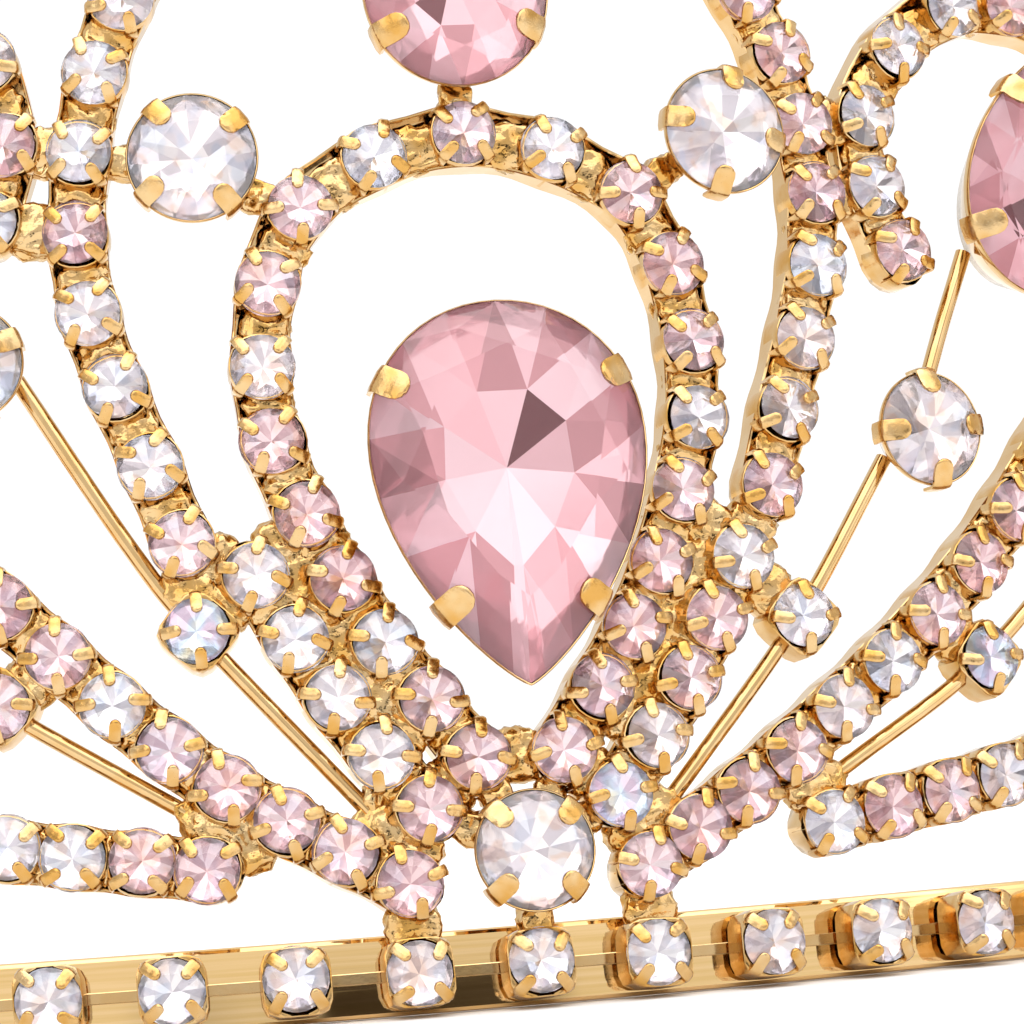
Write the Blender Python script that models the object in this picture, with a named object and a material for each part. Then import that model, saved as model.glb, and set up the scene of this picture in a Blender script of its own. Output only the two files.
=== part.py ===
"""Tiara: a crest of small stones in soldered cups, four pear stones and
seven round stones, on a narrow headband.

Metres, +Z up. The origin is on the surface that the band rests on, under
the middle of the part's box. The front of the crest faces -Y.

Places on the crest are given on its face, in millimetres: u runs to the
right along the band from the middle of the front, and v runs up the crest
from the foot of the band. Depth is measured outwards from the cups' backs.
"""

from collections import namedtuple
from math import cos, pi, radians, sin, tan

import bmesh
import bpy
from mathutils import Vector

MM = 0.001

# The crest's face is a cone that leans in towards the head. Its axis is
# upright, behind the origin.
AXIS_Y = 46.6 * MM
FACE_RADIUS = 97.7 * MM
FACE_DEPTH = 2.6 * MM
LEAN = radians(-6.1)

# Small stones and their cups
CUP_WIDTH = 3.1 * MM
CUP_CORNER = 0.6 * MM
CUP_DEPTH = 1.8 * MM
TABLE_SHARE = 0.55

# Headband
BAND_HEIGHT = 3.8 * MM
BAND_THICKNESS = 0.9 * MM
BAND_EDGE = 0.2 * MM
BAND_GAP = 0.3 * MM
BASE_PITCH = 5.85
BASE_ROW_HEIGHT = 2.2
BASE_STONES_PER_SIDE = 11
BASE_LINK_HALF = 0.3 * MM
BASE_LINK_DEPTH = 0.5 * MM

# Half of the headband, from the middle of the front to one end
Bend = namedtuple("Bend", "radius angle steps")
BAND_BENDS = (
    Bend(FACE_RADIUS - FACE_DEPTH - BAND_GAP, radians(39), 13),
    Bend(45 * MM, radians(48), 9),
    Bend(260 * MM, radians(10), 3),
    Bend(2.6 * MM, radians(290), 9),
)

# Wires
WIRE_RADIUS = 0.42 * MM
WIRE_DEPTH = 1.0 * MM
WIRE_STEPS = 6

# Cut of the main stones, as shares of their width
GIRDLE = 0.25 * MM
CROWN_SHARE = 0.17
PAVILION_SHARE = 0.35
PEAR_PAVILION_SHARE = 0.27
SEAT_GAP = 0.2 * MM
SETTING_WALL = 0.3 * MM
SETTING_FLOOR = 0.4 * MM
PRONG_RISE = 0.35 * MM
PRONG_REACH = 0.75 * MM
SOLDER = 0.6 * MM
PEAR_TAPER = 0.65
ROUND_SIDES = 16
PEAR_SIDES = 24

# Colours: linear red, green, blue; metallic; roughness
FINISHES = {
    "gold": ((0.86, 0.55, 0.16), 1.0, 0.18),
    "P": ((0.86, 0.52, 0.55), 0.0, 0.08),
    "C": ((0.88, 0.88, 0.90), 0.0, 0.06),
    "A": ((0.78, 0.84, 0.92), 0.0, 0.06),
}

# A row of small stones passes through the places of its table. The colours
# are a letter for each stone, P for pink, C for clear and A for iridescent.
Place = namedtuple("Place", "stone u v left_u left_v")
Row = namedtuple("Row", "name right left places")

ARCHES = (
    Row("inner_arch", "PCPPPCPPPPP", "PCPPCPPPCPP", (
        Place(0, 0.0, 42.3, 0.0, 42.3),
        Place(2, 8.7, 39.0, 8.7, 39.0),
        Place(4, 11.1, 31.5, 11.2, 31.4),
        Place(7, 8.15, 20.8, 8.0, 20.9),
        Place(10, 2.2, 12.1, 2.2, 12.1),
    )),
    Row("outer_arch", "CCPCPCPPPPCCCP", "CCPCPCCCCPCCCP", (
        Place(0, 0.0, 63.8, 0.0, 63.8),
        Place(3, 8.9, 57.4, 9.2, 57.5),
        Place(6, 16.6, 49.3, 17.0, 49.8),
        Place(9, 19.15, 38.8, 20.0, 38.3),
        Place(13, 14.5, 24.3, 15.7, 23.2),
    )),
)

ROWS = (
    Row("inner_row", "CPPCA", "CCCCP", (
        Place(0, 12.5, 20.9, 12.3, 21.4),
        Place(2, 8.85, 15.1, 8.8, 15.3),
        Place(4, 4.75, 9.85, 4.8, 9.8),
    )),
    Row("side_arch", "PCCCCPCPCPCPPCPCPCPC", "CPCCCPCPCPCPPCPCPCPC", (
        Place(0, 23.9, 35.8, 24.4, 39.3),
        Place(1, 22.8, 39.1, 23.3, 43.0),
        Place(2, 22.7, 42.8, 24.2, 47.1),
        Place(4, 29.2, 48.6, 31.1, 50.0),
        Place(6, 37.2, 47.6, 38.0, 47.6),
        Place(9, 44.9, 39.4, 45.2, 39.2),
        Place(14, 54.9, 23.3, 54.9, 23.3),
        Place(19, 62.4, 6.0, 62.4, 6.0),
    )),
    Row("ray", "PPPPCCPPPCPCPC", "PPPPPCPPPCPCPC", (
        Place(0, 5.85, 6.35, 6.0, 6.4),
        Place(3, 14.1, 11.3, 14.4, 11.4),
        Place(7, 26.0, 19.9, 24.7, 20.7),
        Place(10, 34.2, 28.2, 33.0, 28.8),
        Place(13, 41.6, 37.4, 41.6, 37.4),
    )),
    Row("low_row", "CPPCPCPPCPPCP", "PPCCPCPPCPPCP", (
        Place(0, 15.7, 7.7, 15.5, 7.7),
        Place(3, 25.7, 9.3, 25.0, 9.3),
        Place(7, 38.6, 11.9, 38.4, 11.9),
        Place(12, 54.3, 15.6, 54.3, 15.6),
    )),
)

# Wires: the side, the places that they pass, and the colour of the stone
# that is soldered on at the second place
Wire = namedtuple("Wire", "name side places colour")
WIRES = (
    Wire("stem_right", 1, ((8.4, 10.4), (15.4, 17.7), (20.9, 24.6)), "C"),
    Wire("stem_left", -1, ((8.4, 10.9), (15.2, 18.9), (18.1, 22.9), (22.8, 30.6)), "A"),
    Wire("stem_link_right", 1, ((24.95, 29.55), (26.3, 32.2), (27.65, 34.65)), None),
    Wire("low_stem_right", 1, ((17.7, 10.7), (25.8, 15.1), (34.2, 21.5)), "A"),
    Wire("low_stem_left", -1, ((17.5, 11.2), (25.1, 16.0), (34.2, 22.0)), "P"),
)

# Main stones: the centre of the round part, the width and length in
# millimetres, the turn in degrees, and the prongs and the solder that holds
# the setting's sides, by outline number
Gem = namedtuple("Gem", "name u v width length turn colour prongs solder", defaults=((),))
GEMS = (
    Gem("centre_pear", 0.2, 26.5, 13.3, 18.3, 180, "P", (3, 8, 15, 20), (3, 20)),
    Gem("top_pear", 0.0, 49.3, 9.0, 13.0, 0, "P", (3, 8, 15, 20)),
    Gem("side_pear_right", 32.2, 38.0, 9.0, 13.0, -14, "P", (3, 8, 15, 20)),
    Gem("side_pear_left", -32.4, 38.2, 9.0, 13.0, 14, "P", (3, 8, 15, 20)),
    Gem("shoulder_round_right", 13.75, 41.8, 6.1, 6.1, 20, "C", (1, 5, 9, 13)),
    Gem("shoulder_round_left", -13.95, 41.5, 6.1, 6.1, -20, "C", (1, 5, 9, 13)),
    Gem("base_round", 0.0, 7.4, 5.6, 5.6, 8, "C", (1, 5, 9, 13)),
    Gem("stem_round_right", 23.6, 26.6, 5.5, 5.5, 35, "C", (1, 5, 9, 13)),
    Gem("stem_round_left", -25.8, 32.3, 5.5, 5.5, -35, "C", (1, 5, 9, 13)),
    Gem("low_stem_round_right", 36.9, 23.6, 5.5, 5.5, 35, "C", (1, 5, 9, 13)),
    Gem("low_stem_round_left", -36.9, 23.8, 5.5, 5.5, -35, "C", (1, 5, 9, 13)),
)


def clear_scene():
    for item in list(bpy.data.objects):
        bpy.data.objects.remove(item, do_unlink=True)


def finish_material(name):
    """One Principled material for each finish."""
    material = bpy.data.materials.get(name) or bpy.data.materials.new(name)
    material.use_nodes = True
    colour, metallic, roughness = FINISHES[name]
    shader = material.node_tree.nodes["Principled BSDF"]
    shader.inputs["Base Color"].default_value = (*colour, 1.0)
    shader.inputs["Metallic"].default_value = metallic
    shader.inputs["Roughness"].default_value = roughness
    material.diffuse_color = (*colour, 1.0)
    return material


def on_crest(u, v, depth):
    """The point at u, v (metres) on the crest's cone, at a depth from the
    cups' backs."""
    angle = u / FACE_RADIUS
    out = Vector((cos(LEAN) * sin(angle), -cos(LEAN) * cos(angle), -sin(LEAN)))
    radius = FACE_RADIUS + v * sin(LEAN)
    foot = Vector((radius * sin(angle), AXIS_Y - radius * cos(angle), v * cos(LEAN)))
    return foot + out * (depth - FACE_DEPTH)


def add_object(name, bm, materials):
    """Makes an object of a closed mesh, with its faces turned outwards."""
    bmesh.ops.recalc_face_normals(bm, faces=bm.faces)
    mesh = bpy.data.meshes.new(name)
    bm.to_mesh(mesh)
    bm.free()
    for material in materials:
        mesh.materials.append(finish_material(material))
    item = bpy.data.objects.new(name, mesh)
    bpy.context.scene.collection.objects.link(item)
    return item


def bridge(bm, ring, other):
    """Joins two rings that have as many corners."""
    count = len(ring)
    for index in range(count):
        after = (index + 1) % count
        bm.faces.new((ring[index], ring[after], other[after], other[index]))


# Rows of small stones

def slope(knots, values, index):
    """Slope of a smooth curve through values at their knots."""
    if index == 0:
        return (values[1] - values[0]) / (knots[1] - knots[0])
    if index == len(knots) - 1:
        return (values[-1] - values[-2]) / (knots[-1] - knots[-2])
    before = knots[index] - knots[index - 1]
    after = knots[index + 1] - knots[index]
    rise = (values[index] - values[index - 1]) / before
    fall = (values[index + 1] - values[index]) / after
    return (rise * after + fall * before) / (before + after)


def smooth(knots, values, at):
    """Value at one place of the smooth curve through the knots."""
    index = 0
    while index < len(knots) - 2 and at > knots[index + 1]:
        index += 1
    span = knots[index + 1] - knots[index]
    t = (at - knots[index]) / span
    start = slope(knots, values, index) * span
    end = slope(knots, values, index + 1) * span
    low, high = values[index], values[index + 1]
    return (low * (1 + 2 * t) * (1 - t) ** 2 + start * t * (1 - t) ** 2
            + high * t * t * (3 - 2 * t) + end * t * t * (t - 1))


def row_centres(places, numbers):
    """Centres (u, v) in metres of the numbered stones, on the smooth curve
    through (number, u, v) places."""
    knots = [place[0] for place in places]
    us = [place[1] for place in places]
    vs = [place[2] for place in places]
    centres = []
    for number in numbers:
        u = smooth(knots, us, number)
        v = smooth(knots, vs, number)
        centres.append(Vector((u, v)) * MM)
    return centres


def row_directions(centres):
    """The direction of the row at each of its centres."""
    directions = []
    last = len(centres) - 1
    for index in range(len(centres)):
        before = centres[max(index - 1, 0)]
        after = centres[min(index + 1, last)]
        directions.append((after - before).normalized())
    return directions


def cross_section(bm, centre, along, half, front):
    """Four corners across a row: back and front on each of its sides."""
    across = Vector((-along.y, along.x))
    corners = []
    for side, depth in ((1, 0.0), (1, front), (-1, front), (-1, 0.0)):
        spot = centre + across * half * side
        corners.append(bm.verts.new(on_crest(spot.x, spot.y, depth)))
    return corners


def join_sections(bm, one, two, sides):
    """Faces between two cross sections: 0 is the left side, 1 the front,
    2 the right side and 3 the back."""
    for side in sides:
        after = (side + 1) % 4
        bm.faces.new((one[side], one[after], two[after], two[side]))


def add_crown(bm, rim, centre, finish):
    """Eight facets and a table on a cup's rim."""
    table = []
    middle = on_crest(centre.x, centre.y, FACE_DEPTH)
    lift = middle - on_crest(centre.x, centre.y, CUP_DEPTH)
    base = middle - lift
    for vert in rim:
        table.append(bm.verts.new(middle + (vert.co - base) * TABLE_SHARE))
    before = set(bm.faces)
    bridge(bm, rim, table)
    bm.faces.new(table)
    for face in set(bm.faces) - before:
        face.material_index = finish


def add_cup(bm, centre, along, finish):
    """One cup with its stone; returns its first and last sections."""
    half = CUP_WIDTH / 2
    flat = half - CUP_CORNER
    sections = []
    for step, width in ((-half, flat), (-flat, half), (flat, half), (half, flat)):
        spot = centre + along * step
        sections.append(cross_section(bm, spot, along, width, CUP_DEPTH))
    for one, two in zip(sections, sections[1:]):
        join_sections(bm, one, two, (0, 2, 3))
    rim = [section[1] for section in sections]
    rim += [section[2] for section in reversed(sections)]
    add_crown(bm, rim, centre, finish)
    return sections[0], sections[-1]


def stone_row(name, centres, colours, link=None):
    """A row of cups with their stones, joined into one body. With a link, a
    bar of that half height and depth joins the cups."""
    bm = bmesh.new()
    directions = row_directions(centres)
    finishes = ["gold", "P", "C", "A"]
    previous = None
    for centre, along, colour in zip(centres, directions, colours):
        first, last = add_cup(bm, centre, along, finishes.index(colour))
        if previous is None:
            bm.faces.new(first)
        elif link is None:
            join_sections(bm, previous, first, (0, 1, 2, 3))
        else:
            reach = along * CUP_WIDTH / 2
            start = previous_centre + previous_along * CUP_WIDTH / 2
            near = cross_section(bm, start, previous_along, *link)
            far = cross_section(bm, centre - reach, along, *link)
            bridge(bm, previous, near)
            bridge(bm, near, far)
            bridge(bm, far, first)
        previous, previous_centre, previous_along = last, centre, along
    bm.faces.new(previous)
    return add_object(name, bm, finishes)


def side_places(row, side):
    """The places of a row on one side, as (number, u, v)."""
    if side > 0:
        return [(place.stone, place.u, place.v) for place in row.places]
    return [(place.stone, -place.left_u, place.left_v) for place in row.places]


def make_arches():
    """Rows that run from the left foot over the middle to the right foot."""
    for row in ARCHES:
        left = [(-stone, u, v) for stone, u, v in side_places(row, -1)]
        places = left[:0:-1] + side_places(row, 1)
        reach = len(row.right) - 1
        centres = row_centres(places, range(-reach, reach + 1))
        stone_row(row.name, centres, row.left[:0:-1] + row.right)


def make_side_rows():
    for row in ROWS:
        for side, label in ((1, "right"), (-1, "left")):
            colours = row.right if side > 0 else row.left
            centres = row_centres(side_places(row, side), range(len(colours)))
            stone_row(row.name + "_" + label, centres, colours)


def make_base_row():
    count = BASE_STONES_PER_SIDE
    centres = []
    for number in range(-count, count + 1):
        centres.append(Vector((number * BASE_PITCH, BASE_ROW_HEIGHT)) * MM)
    colours = "C" * len(centres)
    stone_row("base_row", centres, colours, (BASE_LINK_HALF, BASE_LINK_DEPTH))


# Headband

def band_stations():
    """Places and outward directions along the headband's front face, from
    the middle of the front to the right end."""
    heading = 0.0
    spot = Vector((0.0, AXIS_Y - BAND_BENDS[0].radius))
    stations = [(spot, Vector((0.0, -1.0)))]
    for bend in BAND_BENDS:
        out = Vector((sin(heading), -cos(heading)))
        centre = spot - out * bend.radius
        for step in range(1, bend.steps + 1):
            angle = heading + bend.angle * step / bend.steps
            out = Vector((sin(angle), -cos(angle)))
            stations.append((centre + out * bend.radius, out))
        spot = stations[-1][0]
        heading += bend.angle
    return stations


def make_headband():
    """The strip, with its edges broken."""
    near, back = BAND_EDGE, BAND_THICKNESS
    profile = (
        (-near, 0.0), (0.0, near), (0.0, BAND_HEIGHT - near), (-near, BAND_HEIGHT),
        (near - back, BAND_HEIGHT), (-back, BAND_HEIGHT - near), (-back, near),
        (near - back, 0.0),
    )
    right = band_stations()
    left = [(Vector((-spot.x, spot.y)), Vector((-out.x, out.y))) for spot, out in right]
    stations = left[:0:-1] + right
    bm = bmesh.new()
    rings = []
    for spot, out in stations:
        ring = []
        for depth, height in profile:
            flat = spot + out * (depth + height * tan(LEAN))
            ring.append(bm.verts.new((flat.x, flat.y, height)))
        rings.append(ring)
    for one, two in zip(rings, rings[1:]):
        bridge(bm, one, two)
    bm.faces.new(rings[0])
    bm.faces.new(rings[-1])
    return add_object("headband", bm, ["gold"])


# Wires

def make_wire(wire):
    """A soldered wire of six sides, with its stone's cup joined to it."""
    knots = list(range(len(wire.places)))
    us = [wire.side * place[0] for place in wire.places]
    vs = [place[1] for place in wire.places]
    total = WIRE_STEPS * (len(knots) - 1)
    centres = []
    for step in range(total + 1):
        at = step / WIRE_STEPS
        centres.append(Vector((smooth(knots, us, at), smooth(knots, vs, at))) * MM)
    bm = bmesh.new()
    rings = []
    for centre, along in zip(centres, row_directions(centres)):
        across = Vector((-along.y, along.x))
        ring = []
        for corner in range(6):
            angle = corner * pi / 3
            spot = centre + across * WIRE_RADIUS * cos(angle)
            depth = WIRE_DEPTH + WIRE_RADIUS * sin(angle)
            ring.append(bm.verts.new(on_crest(spot.x, spot.y, depth)))
        rings.append(ring)
    for one, two in zip(rings, rings[1:]):
        bridge(bm, one, two)
    bm.faces.new(rings[0])
    bm.faces.new(rings[-1])
    item = add_object(wire.name, bm, ["gold", "P", "C", "A"])
    if wire.colour:
        join_cup(item, wire)


def join_cup(item, wire):
    """Unites a wire with the cup of its stone."""
    start, centre = [Vector((wire.side * u, v)) * MM for u, v in wire.places[:2]]
    finishes = ["gold", "P", "C", "A"]
    bm = bmesh.new()
    first, last = add_cup(bm, centre, (centre - start).normalized(),
                          finishes.index(wire.colour))
    bm.faces.new(first)
    bm.faces.new(last)
    cup = add_object(wire.name + "_cup", bm, finishes)
    cup.hide_render = True
    cup.display_type = "WIRE"
    union = item.modifiers.new("Soldered cup", "BOOLEAN")
    union.operation = "UNION"
    union.solver = "EXACT"
    union.object = cup


# Main stones and their settings

def outline(gem, margin):
    """Outline of a main stone, wider by a margin all round, as places on
    the crest. A pear's round part is centred on the stone's own place and
    its tip points up before it is turned."""
    width = gem.width * MM + 2 * margin
    length = gem.length * MM + 2 * margin
    turn = radians(gem.turn)
    centre = Vector((gem.u, gem.v)) * MM
    pear = gem.length > gem.width
    sides = PEAR_SIDES if pear else ROUND_SIDES
    taper = PEAR_TAPER if pear else 0.0
    widest = 2 * (1 + taper) / (2 + taper) - 1
    peak = (1 - widest * widest) ** 0.5 * ((1 + widest) / 2) ** (taper / 2)
    places = []
    for number in range(sides):
        t = 2 * pi * number / sides
        across = sin(t) * abs(sin(t / 2)) ** taper / peak * width / 2
        up = (cos(t) + (widest if pear else 0.0)) * length / 2
        spot = Vector((across * cos(turn) - up * sin(turn),
                       across * sin(turn) + up * cos(turn)))
        places.append(centre + spot)
    return places


def shrink(places, share):
    """An outline drawn in towards its middle."""
    middle = sum(places, Vector((0.0, 0.0))) / len(places)
    return [middle + (place - middle) * share for place in places]


def ring_at(bm, places, depth):
    return [bm.verts.new(on_crest(place.x, place.y, depth)) for place in places]


def cut_sizes(gem):
    """Height of the girdle, and heights of the crown and the pavilion."""
    width = gem.width * MM
    share = PEAR_PAVILION_SHARE if gem.length > gem.width else PAVILION_SHARE
    pavilion = width * share
    return pavilion + SETTING_FLOOR + 2 * SEAT_GAP, width * CROWN_SHARE, pavilion


def make_stone(gem):
    """A stone with a table, a crown, a girdle and a pavilion."""
    girdle, crown, pavilion = cut_sizes(gem)
    places = outline(gem, 0.0)
    bm = bmesh.new()
    table = ring_at(bm, shrink(places, TABLE_SHARE), girdle + crown)
    top = ring_at(bm, places, girdle)
    low = ring_at(bm, places, girdle - GIRDLE)
    middle = shrink(places, 0.0)[0]
    culet = bm.verts.new(on_crest(middle.x, middle.y, girdle - pavilion))
    bridge(bm, table, top)
    bridge(bm, top, low)
    bm.faces.new(table)
    for index in range(len(low)):
        bm.faces.new((low[index], low[index - 1], culet))
    add_object(gem.name, bm, [gem.colour])


def add_prong(bm, gem, face, girdle):
    """Raises one face of the rim and bends it in over the stone."""
    centre = Vector((gem.u, gem.v)) * MM
    inwards = on_crest(centre.x, centre.y, girdle) - face.calc_center_median()
    inwards.normalize()
    up = on_crest(centre.x, centre.y, 1.0) - on_crest(centre.x, centre.y, 0.0)
    for step in (up * PRONG_RISE, up * PRONG_RISE + inwards * PRONG_REACH):
        made = bmesh.ops.extrude_discrete_faces(bm, faces=[face])
        face = made["faces"][0]
        bmesh.ops.translate(bm, verts=face.verts, vec=step)


def make_setting(gem):
    """A cup with a seat for the stone and prongs bent over its edge."""
    girdle, _, pavilion = cut_sizes(gem)
    seat = outline(gem, SEAT_GAP)
    wall = outline(gem, SEAT_GAP + SETTING_WALL)
    bm = bmesh.new()
    foot = ring_at(bm, shrink(wall, 0.86), 0.0)
    rim = ring_at(bm, wall, girdle)
    inner = ring_at(bm, seat, girdle)
    ledge = ring_at(bm, seat, girdle - GIRDLE - SEAT_GAP)
    well = ring_at(bm, shrink(seat, 0.12), girdle - pavilion - SEAT_GAP)
    bridge(bm, foot, rim)
    bridge(bm, rim, inner)
    bridge(bm, inner, ledge)
    bridge(bm, ledge, well)
    bm.faces.new(foot)
    bm.faces.new(well)
    bmesh.ops.recalc_face_normals(bm, faces=bm.faces)
    for number in gem.prongs:
        corners = (rim[number], rim[number + 1], inner[number + 1], inner[number])
        add_prong(bm, gem, bm.faces.get(corners), girdle)
    for number in gem.solder:
        corners = (foot[number], foot[number + 1], rim[number + 1], rim[number])
        face = bm.faces.get(corners)
        outwards = face.normal * SOLDER
        made = bmesh.ops.extrude_discrete_faces(bm, faces=[face])
        bmesh.ops.translate(bm, verts=made["faces"][0].verts, vec=outwards)
    add_object(gem.name + "_setting", bm, ["gold"])


def main():
    clear_scene()
    make_headband()
    make_base_row()
    make_arches()
    make_side_rows()
    for wire in WIRES:
        make_wire(wire)
    for gem in GEMS:
        make_stone(gem)
        make_setting(gem)


main()
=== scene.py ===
"""The looks of the tiara: gold cups and settings, cut glass stones, the
polished band, and the studio that it stands in.

Metres, +Z up. Places on the crest are u along the band from the middle of
the front, v up the crest from the foot of the band, and depth outwards from
the cups' backs.
"""

from collections import namedtuple
from math import atan2, cos, hypot, pi, radians, sin, tan

import bmesh
import bpy
from mathutils import Matrix, Vector


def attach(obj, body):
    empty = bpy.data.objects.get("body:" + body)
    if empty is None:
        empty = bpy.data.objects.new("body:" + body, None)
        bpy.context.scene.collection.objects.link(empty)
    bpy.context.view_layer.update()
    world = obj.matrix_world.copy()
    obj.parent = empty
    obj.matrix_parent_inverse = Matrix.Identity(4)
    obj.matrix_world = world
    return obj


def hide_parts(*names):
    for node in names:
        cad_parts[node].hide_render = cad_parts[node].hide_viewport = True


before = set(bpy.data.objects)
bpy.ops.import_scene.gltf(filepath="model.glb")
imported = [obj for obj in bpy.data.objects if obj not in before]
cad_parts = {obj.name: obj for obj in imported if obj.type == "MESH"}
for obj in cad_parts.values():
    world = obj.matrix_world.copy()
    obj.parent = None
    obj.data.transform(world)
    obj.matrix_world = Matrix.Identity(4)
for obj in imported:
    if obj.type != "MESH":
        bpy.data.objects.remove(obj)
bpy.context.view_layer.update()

bl_info = {
    "name": "Tiara looks",
    "version": (1, 0, 0),
    "blender": (4, 5, 0),
    "location": "3D View > Sidebar > Tiara",
    "description": "Dresses a tiara in gold and cut stones, and lights it",
    "category": "Object",
}

MM = 0.001

# The crest's cone
AXIS_Y = 46.6 * MM
FACE_RADIUS = 97.7 * MM
FACE_DEPTH = 2.6 * MM
LEAN = radians(-6.1)

# Rows of small stones: the place of the first one, and a letter for each
# stone from there on, P for pink, C for clear and A for iridescent
Row = namedtuple("Row", "name start colours")
ROWS = (
    Row("inner_arch", (-2.2, 12.1), "PPCPPPCPPCPCPPPCPPPPP"),
    Row("outer_arch", (-15.7, 23.2), "PCCCPCCCCPCPCCCPCPCPPPPCCCP"),
    Row("inner_row_right", (12.5, 20.9), "CPPCA"),
    Row("inner_row_left", (-12.3, 21.4), "CCCCP"),
    Row("side_arch_right", (23.9, 35.8), "PCCCCPCPCPCPPCPCPCPC"),
    Row("side_arch_left", (-24.4, 39.3), "CPCCCPCPCPCPPCPCPCPC"),
    Row("ray_right", (5.85, 6.35), "PPPPCCPPPCPCPC"),
    Row("ray_left", (-6.0, 6.4), "PPPPPCPPPCPCPC"),
    Row("low_row_right", (15.7, 7.7), "CPPCPCPPCPPCP"),
    Row("low_row_left", (-15.5, 7.7), "PPCCPCPPCPPCP"),
    Row("base_row", (-64.0, 2.2), "C" * 23),
    Row("stem_right", (15.4, 17.7), "C"),
    Row("stem_left", (-15.2, 18.9), "A"),
    Row("low_stem_right", (25.8, 15.1), "A"),
    Row("low_stem_left", (-25.1, 16.0), "P"),
)
ROW_FINISHES = {"P": "pink", "C": "clear", "A": "iridescent"}
BARE_ROWS = ("base_row",)

# Wires: 1 for the right side or -1 for the left, and places along them
Wire = namedtuple("Wire", "name side places")
WIRES = (
    Wire("stem_right", 1, ((8.4, 10.4), (15.4, 17.7), (20.9, 24.6))),
    Wire("stem_left", -1, ((8.4, 10.9), (15.2, 18.9), (18.1, 22.9), (22.8, 30.6))),
    Wire("stem_link_right", 1, ((24.95, 29.55), (26.3, 32.2), (27.65, 34.65))),
    Wire("low_stem_right", 1, ((17.7, 10.7), (25.8, 15.1), (34.2, 21.5))),
    Wire("low_stem_left", -1, ((17.5, 11.2), (25.1, 16.0), (34.2, 22.0))),
)
WIRE_RADIUS = 0.4 * MM
WIRE_DEPTH = 1.0 * MM
WIRE_SIDES = 16
WIRE_STEPS = 8

# Main stones: centre of the round part, width, length and turn, and where
# the prongs stand round the outline, in degrees from the tip
Gem = namedtuple("Gem", "name u v width length turn colour prongs")
PEAR_PRONGS = (52.5, 127.5, 232.5, 307.5)
ROUND_PRONGS = (33.75, 123.75, 213.75, 303.75)
GEMS = (
    Gem("centre_pear", 0.2, 26.5, 13.3, 18.3, 180, "pink", PEAR_PRONGS),
    Gem("top_pear", 0.0, 49.3, 9.0, 13.0, 0, "pink", PEAR_PRONGS),
    Gem("side_pear_right", 32.2, 38.0, 9.0, 13.0, -14, "pink", PEAR_PRONGS),
    Gem("side_pear_left", -32.4, 38.2, 9.0, 13.0, 14, "pink", PEAR_PRONGS),
    Gem("shoulder_round_right", 13.75, 41.8, 6.1, 6.1, 20, "clear", ROUND_PRONGS),
    Gem("shoulder_round_left", -13.95, 41.5, 6.1, 6.1, -20, "clear", ROUND_PRONGS),
    Gem("base_round", 0.0, 7.4, 5.6, 5.6, -13, "clear", ROUND_PRONGS),
    Gem("stem_round_right", 23.6, 26.6, 5.5, 5.5, 35, "clear", ROUND_PRONGS),
    Gem("stem_round_left", -25.8, 32.3, 5.5, 5.5, -35, "clear", ROUND_PRONGS),
    Gem("low_stem_round_right", 36.9, 23.6, 5.5, 5.5, 35, "clear", ROUND_PRONGS),
    Gem("low_stem_round_left", -36.9, 23.8, 5.5, 5.5, -35, "clear", ROUND_PRONGS),
)
PEAR_TAPER = 0.65

# How a stone is cut, as shares of its width, its girdle in metres. The culet
# lies off the middle of the round part, towards the tip
Cut = namedtuple("Cut", "mains table crown pavilion culet girdle star low_half steps")
SMALL_CUT = Cut(8, 0.56, 0.12, 0.15, 0.0, 0.07 * MM, 0.70, 0.76, 2)
ROUND_CUT = Cut(8, 0.56, 0.12, 0.15, 0.0, 0.2 * MM, 0.70, 0.76, 4)
PEAR_CUT = Cut(10, 0.66, 0.11, 0.15, 0.075, 0.34 * MM, 0.60, 0.54, 4)

# The facets' scallops cut at most this far into the girdle, as a share of
# its thickness, from each side
GIRDLE_SHARE = 0.45

# Painted light and shade on the foil behind the facets, from 0 for a dark facet to 1 for a light
# one, in place of the dark and bright reflections of a cut stone. From the tip or the top round:
# first the long facets, then the short ones at the edge
SMALL_PAINTED_FACET_LIGHT = ((1.0, 0.2, 0.9, 0.4, 1.0, 0.1, 0.7, 0.5),
               (1.0, 0.15, 0.9, 0.3, 1.0, 0.2, 0.8, 0.35))
ROUND_PAINTED_FACET_LIGHT = ((0.7, 1.0, 0.3, 0.9, 0.2, 1.0, 0.5, 0.75),
               (1.0, 0.15, 0.95, 0.35, 1.0, 0.2, 0.85, 0.3))
PEAR_PAINTED_FACET_LIGHT = ((0.75, 1.0, 0.92, 0.82, 0.62, 0.74, 0.0, 0.68, 0.82, 0.88),
              (0.7, 0.32, 0.85, 0.4, 0.65, 0.28, 0.8, 0.35, 0.6, 0.45))

# The kinds of main stone: cut, the painted light and shade of its facets, how high the girdle
# stands over the setting's floor as a share of the width, foil and glass, slot, and the claws:
# their width in millimetres, and how it grows with the stone's width
Kind = namedtuple("Kind", "cut tones seat finish slot claw_width claw_growth thick reach")
PEAR = Kind(PEAR_CUT, PEAR_PAINTED_FACET_LIGHT, 0.27, "deep", "pink_stone", 1.05, 0.03, 0.32 * MM, 1.15 * MM)
ROUND = Kind(ROUND_CUT, ROUND_PAINTED_FACET_LIGHT, 0.35, "clear", "clear_stone", 1.05, 0.0, 0.26 * MM, 1.0 * MM)

# Their settings: how far the wall goes back is a share of the girdle's height
SETTING_FLOOR = 0.4 * MM
SETTING_SIDES = 64
SETTING_BACK = 0.45
SEAT_GAP = 0.2 * MM
CLAW_STAND = 0.05 * MM
CLAW_DROP = 0.8 * MM

# Corners of one CAD table lie nearer to each other than this
TABLE_LINK = 1.3 * MM

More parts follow.
